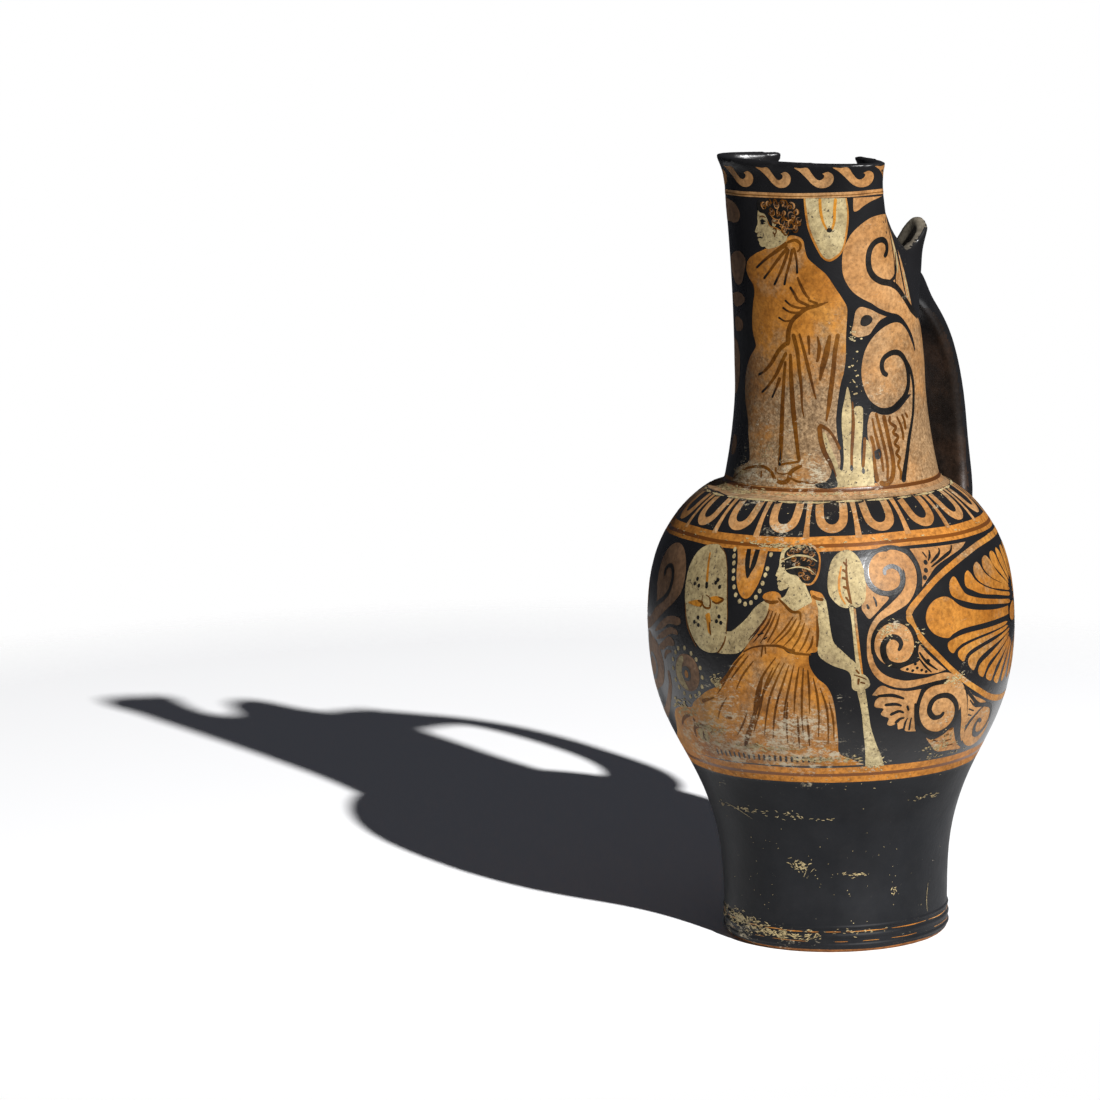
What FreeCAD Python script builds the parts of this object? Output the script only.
import FreeCAD, Part
import math
import os

from FreeCAD import Vector

# A high-beaked pouring jug of fired clay, one piece: a tall waisted foot, an ovoid
# body, a neck whose front rises into a beak and whose back opens into a lower flared
# lip, and a strap handle from that lip down to the shoulder.
# Frame: +Z up, +X towards the handle, origin at the middle of the flat underside.

# Driving dimensions of the foot, mm
foot_radius = 51.6
foot_chamfer = 1.6
foot_groove_heights = (5.4, 9.9)
foot_groove_depth = 0.8
foot_groove_half_height = 0.7
foot_top_height = 13.5

# Body and shoulder, mm
waist_radius = 51.3
waist_height = 22.0
body_radius = 83.7
body_height = 146.0
shoulder_height = 206.5
shoulder_top_radius = 55.0
wall = 5.0
floor_thickness = 9.0

# Neck, mm: it was joined on a little off the body's axis
neck_shift_along = 0.9
neck_shift_across = -1.3
neck_ledge = 1.2
neck_foot_radius = 49.0
neck_radius = 43.0
neck_top_height = 254.0

# Beak at the front of the mouth, mm and degrees
beak_skew = 10.5
rim_height = 353.8
beak_front_reach = 43.8
beak_half_width = 38.0
beak_back_reach = -8.0
rim_flare = 1.8
rim_flare_height = 9.0
beak_gap_half_width = 23.0
rim_rise = 3.2
rim_rise_back = 1.2

# Flared lip at the back of the mouth, with a lobe at each side of the handle, mm
lip_height = 325.6
lip_back_reach = 36.5
lip_front_reach = 0.0
lip_half_width = 38.6
lip_flare = 3.4
lip_flare_height = 12.0
lip_notch_drop = 13.0
lip_fall = 9.0
lip_saddle_depth = 19.0
lobe_half_width = 26.5

# Strap handle, mm
handle_width = 30.0
handle_thickness = 10.4
handle_crown = 1.4
root_swell = 0.80
foot_swell = 0.28
handle_edge = 2.6
handle_reach = 99.0
handle_root_drop = 29.5
handle_foot_height = 173.0

# Lengths that pieces share a join or a cut by, mm
join_depth = 2.6
cut_margin = 4.0
mouth_levels = 20

# Turns from the beak's tip to points of the mouth's outline, degrees: on the round
# neck, and on the keyhole's own ovals
beak_turns = ((0, 0), (22, 28), (44, 58), (66, 90), (84, 122))
waist_turn = 99
lip_turns = ((114, 48), (131, 80), (148, 112), (164, 146), (180, 180))


def smooth(share):
    """Ease from 0 to 1 with no slope at either end."""
    share = max(0.0, min(1.0, share))
    return share * share * (3.0 - 2.0 * share)


def between(low, high, share):
    return low + (high - low) * share


def share_up(height, low, high):
    return max(0.0, (height - low) / (high - low))


def spline(points):
    curve = Part.BSplineCurve()
    curve.interpolate(points)
    return curve


def profile_point(radius, height):
    return Vector(radius, 0, height)


def body_side():
    """The outer line of the foot's waist, the belly and the shoulder."""
    rise = body_height - waist_height
    swell = body_radius - waist_radius
    top = shoulder_height - body_height
    fall = body_radius - shoulder_top_radius
    return spline([
        profile_point(waist_radius, foot_top_height),
        profile_point(waist_radius + 0.006 * swell, between(foot_top_height, waist_height, 0.9)),
        profile_point(waist_radius + 0.064 * swell, waist_height + 0.18 * rise),
        profile_point(waist_radius + 0.350 * swell, waist_height + 0.42 * rise),
        profile_point(waist_radius + 0.796 * swell, waist_height + 0.66 * rise),
        profile_point(waist_radius + 0.985 * swell, waist_height + 0.88 * rise),
        profile_point(body_radius, body_height),
        profile_point(body_radius - 0.172 * fall, body_height + 0.52 * top),
        profile_point(body_radius - 0.450 * fall, body_height + 0.762 * top),
        profile_point(shoulder_top_radius, shoulder_height),
    ])


def neck_plain_radius(height):
    """The round neck's outer radius, drawn in from the shoulder's ledge upwards."""
    foot = shoulder_height + 2.0 * neck_ledge
    left = 1.0 - max(0.0, min(1.0, share_up(height, foot, neck_top_height)))
    return between(neck_radius, neck_foot_radius, left ** 1.6)


def end_points(curve):
    return curve.value(curve.FirstParameter), curve.value(curve.LastParameter)


def moved_in(curve, distance, count):
    """The same line, set towards the axis by the wall."""
    points = []
    for index in range(count):
        share = index / (count - 1)
        parameter = between(curve.FirstParameter, curve.LastParameter, share)
        spot = curve.value(parameter)
        slope = curve.tangent(parameter)[0]
        points.append(spot + Vector(-slope.z, 0, slope.x) * distance)
    return spline(points)


def revolved(curves):
    """A solid turned about the axis from a chain of curves, closed along the axis."""
    first = end_points(curves[0])[0]
    last = end_points(curves[-1])[1]
    below = Vector(0, 0, first.z)
    above = Vector(0, 0, last.z)
    edges = [Part.makeLine(below, first)]
    here = first
    for curve in curves:
        start, end = end_points(curve)
        if here.distanceToPoint(start) > 1e-6:
            edges.append(Part.makeLine(here, start))
        edges.append(curve.toShape())
        here = end
    edges.append(Part.makeLine(last, above))
    edges.append(Part.makeLine(above, below))
    face = Part.Face(Part.Wire(edges))
    return face.revolve(Vector(0, 0, 0), Vector(0, 0, 1), 360)


def foot_solid():
    """The foot's edge, with its bare chamfer and two turned grooves."""
    radius = foot_radius
    points = [
        Vector(0, 0, 0),
        profile_point(radius - foot_chamfer, 0),
        profile_point(radius, foot_chamfer),
    ]
    for height in foot_groove_heights:
        points.append(profile_point(radius, height - foot_groove_half_height))
        points.append(profile_point(radius - foot_groove_depth, height))
        points.append(profile_point(radius, height + foot_groove_half_height))
    points.append(profile_point(waist_radius, foot_top_height))
    points.append(Vector(0, 0, foot_top_height))
    face = Part.Face(Part.makePolygon(points + points[:1]))
    return face.revolve(Vector(0, 0, 0), Vector(0, 0, 1), 360)


def beak_front(height):
    flare = rim_flare * smooth(share_up(height, rim_height - rim_flare_height, rim_height))
    share = smooth(share_up(height, neck_top_height, rim_height))
    return between(neck_plain_radius(height), beak_front_reach, share) + flare


def lip_flare_at(height):
    return lip_flare * smooth(share_up(height, lip_height - lip_flare_height, lip_height))


def lip_back(height):
    share = smooth(share_up(height, neck_top_height, lip_height))
    return between(neck_plain_radius(height), lip_back_reach, share) + 0.3 * lip_flare_at(height)


def mouth_outline(height):
    """Points round the mouth's outline at a height, in the mouth's own frame.

    It is a circle up to the neck's top, and a keyhole further up: the beak's oval, a
    waist that closes towards the rim, and the wider oval of the back lip.
    """
    share = share_up(height, neck_top_height, rim_height)
    beak = smooth(share)
    plain = neck_plain_radius(height)
    front = beak_front(height)
    beak_back = between(plain, beak_back_reach, beak)
    rim = rim_flare * smooth(share_up(height, rim_height - rim_flare_height, rim_height))
    beak_width = between(plain, beak_half_width, smooth(share / 0.8)) + rim
    lip_share = smooth(share_up(height, neck_top_height, lip_height))
    back = lip_back(height)
    lip_front = between(plain, lip_front_reach, lip_share)
    lip_width = between(plain, lip_half_width, smooth(share / 0.4)) + lip_flare_at(height)

    half = []
    for round_turn, formed in beak_turns:
        turn = math.radians(between(round_turn, formed, beak))
        middle = 0.5 * (beak_back - front)
        reach = 0.5 * (beak_back + front)
        half.append((middle - reach * math.cos(turn), beak_width * math.sin(turn)))
    turn = math.radians(waist_turn)
    waist_back = between(-plain * math.cos(turn), beak_back_reach, beak)
    closing = min(1.0, share) ** 2.3
    waist_width = between(plain * math.sin(turn), beak_gap_half_width, closing)
    half.append((waist_back, waist_width))
    for round_turn, formed in lip_turns:
        turn = math.radians(between(round_turn, formed, beak))
        middle = 0.5 * (back - lip_front)
        reach = 0.5 * (back + lip_front)
        half.append((middle - reach * math.cos(turn), lip_width * math.sin(turn)))
    return half + [(along, -across) for along, across in reversed(half[1:-1])]


def mouth_wire(height, inset):
    ring = mouth_outline(height)
    points = []
    for index, (along, across) in enumerate(ring):
        before = ring[index - 1]
        after = ring[(index + 1) % len(ring)]
        run = Vector(after[0] - before[0], after[1] - before[1], 0).normalize()
        inward = Vector(run.y, -run.x, 0)
        points.append(Vector(along, across, height) + inward * inset)
    line = Part.BSplineCurve()
    line.interpolate(points, PeriodicFlag=True)
    return Part.Wire([line.toShape()])


def mouth_tube(inset, low):
    """A loft of even steps from inside the shoulder to above the rim."""
    top = rim_height + rim_rise + rim_rise_back + cut_margin
    heights = [between(low, top, index / (mouth_levels - 1)) for index in range(mouth_levels)]
    return Part.makeLoft([mouth_wire(height, inset) for height in heights], True)


def wave(points, start):
    """A face whose lower edge is a smooth wave, given across the mouth and up."""
    spots = [Vector(start, across, height) for across, height in points]
    top = 2.0 * rim_height
    lid = [spots[-1], Vector(start, spots[-1].y, top), Vector(start, spots[0].y, top), spots[0]]
    edges = [spline(spots).toShape()] + Part.makePolygon(lid).Edges
    return Part.Face(Part.Wire(edges))


def saddle():
    """The trough that the back lip dips into between its lobes, where the handle rises."""
    side = [(0, 1), (0.46, 0.98), (0.66, 0.80), (0.84, 0.45), (1.02, 0.14), (1.2, 0), (1.5, 0.2), (2, 0.5)]
    right = [(lobe_half_width * across, lip_height - lip_saddle_depth * drop) for across, drop in side]
    left = [(-across, height) for across, height in reversed(right[1:])]
    return wave(left + right, 0.3 * neck_radius).extrude(Vector(2.0 * body_radius, 0, 0))


def back_cut():
    """What is cut away above the back lip, down the two edges of the beak's gap."""
    edge = beak_back_reach - 0.5
    low = lip_height - lip_notch_drop
    points = [
        (edge, 2.0 * rim_height),
        (edge, between(lip_height, rim_height, 0.6)),
        (edge + 0.04 * neck_radius, between(low, rim_height, 0.40)),
        (edge + 0.11 * neck_radius, between(low, rim_height, 0.22)),
        (edge + 0.21 * neck_radius, low + 0.36 * lip_notch_drop),
        (edge + 0.35 * neck_radius, low),
        (edge + 0.50 * neck_radius, low + 0.20 * lip_notch_drop),
        (edge + 0.67 * neck_radius, low + 0.66 * lip_notch_drop),
        (edge + 0.79 * neck_radius, lip_height),
        (edge + 1.00 * neck_radius, lip_height - 0.4 * lip_fall),
        (edge + 1.25 * neck_radius, lip_height - lip_fall),
    ]
    start = -2.0 * neck_radius
    spots = [Vector(along, start, height) for along, height in points]
    line = spline(spots[1:])
    edges = [Part.makeLine(spots[0], spots[1]), line.toShape()]
    corner = Vector(spots[-1].x, start, spots[0].z)
    edges += [Part.makeLine(spots[-1], corner), Part.makeLine(corner, spots[0])]
    return Part.Face(Part.Wire(edges)).extrude(Vector(0, 4.0 * neck_radius, 0))


def rim_cut():
    """All that lies above the rim, which rises to one side and to the beak's back."""
    size = 4.0 * body_radius
    block = Part.makeBox(size, size, size, Vector(-0.5 * size, -0.5 * size, 0))
    beak_depth = beak_front_reach + beak_back_reach
    aside = math.degrees(math.atan2(rim_rise, 2.0 * beak_half_width))
    backward = math.degrees(math.atan2(rim_rise_back, beak_depth))
    block.rotate(Vector(0, 0, 0), Vector(1, 0, 0), aside)
    block.rotate(Vector(0, 0, 0), Vector(0, 1, 0), -backward)
    block.translate(Vector(-beak_front_reach, 0, rim_height + 0.5 * rim_rise))
    return block


def strap_spine():
    """The middle line of the handle, from inside the lip's wall to inside the shoulder."""
    root_height = lip_height - handle_root_drop
    root_radius = lip_back(root_height) + neck_shift_along - join_depth
    middle = handle_reach - 0.5 * handle_thickness
    foot_radius_here = radius_at(handle_foot_height) - join_depth
    span = middle - root_radius
    drop = root_height - handle_foot_height
    step = middle - foot_radius_here
    return spline([
        Vector(root_radius, 0, root_height),
        Vector(root_radius + 0.18 * span, 0, root_height - 0.022 * drop),
        Vector(root_radius + 0.44 * span, 0, root_height - 0.090 * drop),
        Vector(root_radius + 0.70 * span, 0, root_height - 0.205 * drop),
        Vector(root_radius + 0.92 * span, 0, root_height - 0.430 * drop),
        Vector(middle, 0, root_height - 0.68 * drop),
        Vector(middle - 0.02 * step, 0, root_height - 0.83 * drop),
        Vector(middle - 0.32 * step, 0, root_height - 0.94 * drop),
        Vector(foot_radius_here, 0, handle_foot_height),
    ])


def radius_at(height):
    """The body's outer radius at a height on the shoulder."""
    line = Part.makeLine(Vector(0, 0, height), Vector(2.0 * body_radius, 0, height))
    spots = body_side().toShape().distToShape(line)[1]
    return spots[0][0].x


def strap_section(spot, forward, width, thickness):
    """A strap's section: a crowned outer face, a flatter inner one and round edges."""
    across = Vector(0, 1, 0)
    outward = forward.cross(across)
    if outward.x < 0 and outward.z < 0:
        outward = outward * -1.0
    half = 0.5 * width
    thick = 0.5 * thickness

    def place(side, out):
        return spot + across * side + outward * out

    flat = half - handle_edge
    edges = [
        Part.Arc(place(-flat, thick - handle_crown), place(0, thick), place(flat, thick - handle_crown)),
        Part.Arc(place(flat, thick - handle_crown), place(half, -0.1 * thick), place(flat, 0.6 - thick)),
        Part.Arc(place(flat, 0.6 - thick), place(0, -thick), place(-flat, 0.6 - thick)),
        Part.Arc(place(-flat, 0.6 - thick), place(-half, -0.1 * thick), place(-flat, thick - handle_crown)),
    ]
    return Part.Wire([edge.toShape() for edge in edges])


def handle_solid():
    spine = strap_spine()
    wires = []
    count = 15
    for index in range(count):
        share = index / (count - 1)
        parameter = between(spine.FirstParameter, spine.LastParameter, share)
        forward = spine.tangent(parameter)[0]
        root = smooth(1.0 - share / 0.25)
        foot = smooth((share - 0.65) / 0.35)
        width = handle_width * (1.0 + 0.5 * root_swell * root + foot_swell * foot)
        thickness = handle_thickness * (1.0 + 1.2 * root_swell * root + foot_swell * foot)
        wires.append(strap_section(spine.value(parameter), forward, width, thickness))
    return Part.makeLoft(wires, True, False)


def in_mouth_frame(shape):
    shape.rotate(Vector(0, 0, 0), Vector(0, 0, 1), beak_skew)
    shape.translate(Vector(neck_shift_along, neck_shift_across, 0))
    return shape


def outer_solid():
    body = revolved([body_side()])
    low = shoulder_height - wall
    neck = in_mouth_frame(mouth_tube(0.0, low))
    return foot_solid().fuse([body, neck, neck_ring(), handle_solid()])


def neck_ring():
    """The low turned ring that the neck stands on."""
    low = shoulder_height - wall
    top_radius = neck_foot_radius + neck_ledge
    ring = Part.makeCone(shoulder_top_radius, top_radius, wall + 2.0 * neck_ledge, Vector(0, 0, low))
    ring.translate(Vector(neck_shift_along, neck_shift_across, 0))
    return ring


def cavity():
    side = moved_in(body_side(), wall, 14)
    floor = Part.LineSegment(profile_point(foot_radius - 2.2 * wall, floor_thickness), end_points(side)[0])
    hollow = revolved([floor, side])
    neck_low = end_points(side)[1].z - 0.5 * wall
    return hollow.fuse(in_mouth_frame(mouth_tube(wall, neck_low)))


def vessel():
    body = outer_solid().cut(cavity())
    return body.cut([in_mouth_frame(cutter) for cutter in (back_cut(), saddle(), rim_cut())])


os.makedirs("parts", exist_ok=True)
jug = vessel()
solids = jug.Solids
print("solids", len(solids), "valid", jug.isValid(), "volume cm3", round(jug.Volume / 1000.0, 1))
box = jug.BoundBox
print("box", [round(value, 1) for value in (box.XMin, box.YMin, box.ZMin, box.XMax, box.YMax, box.ZMax)])
solids[0].exportStep("parts/vessel.step")
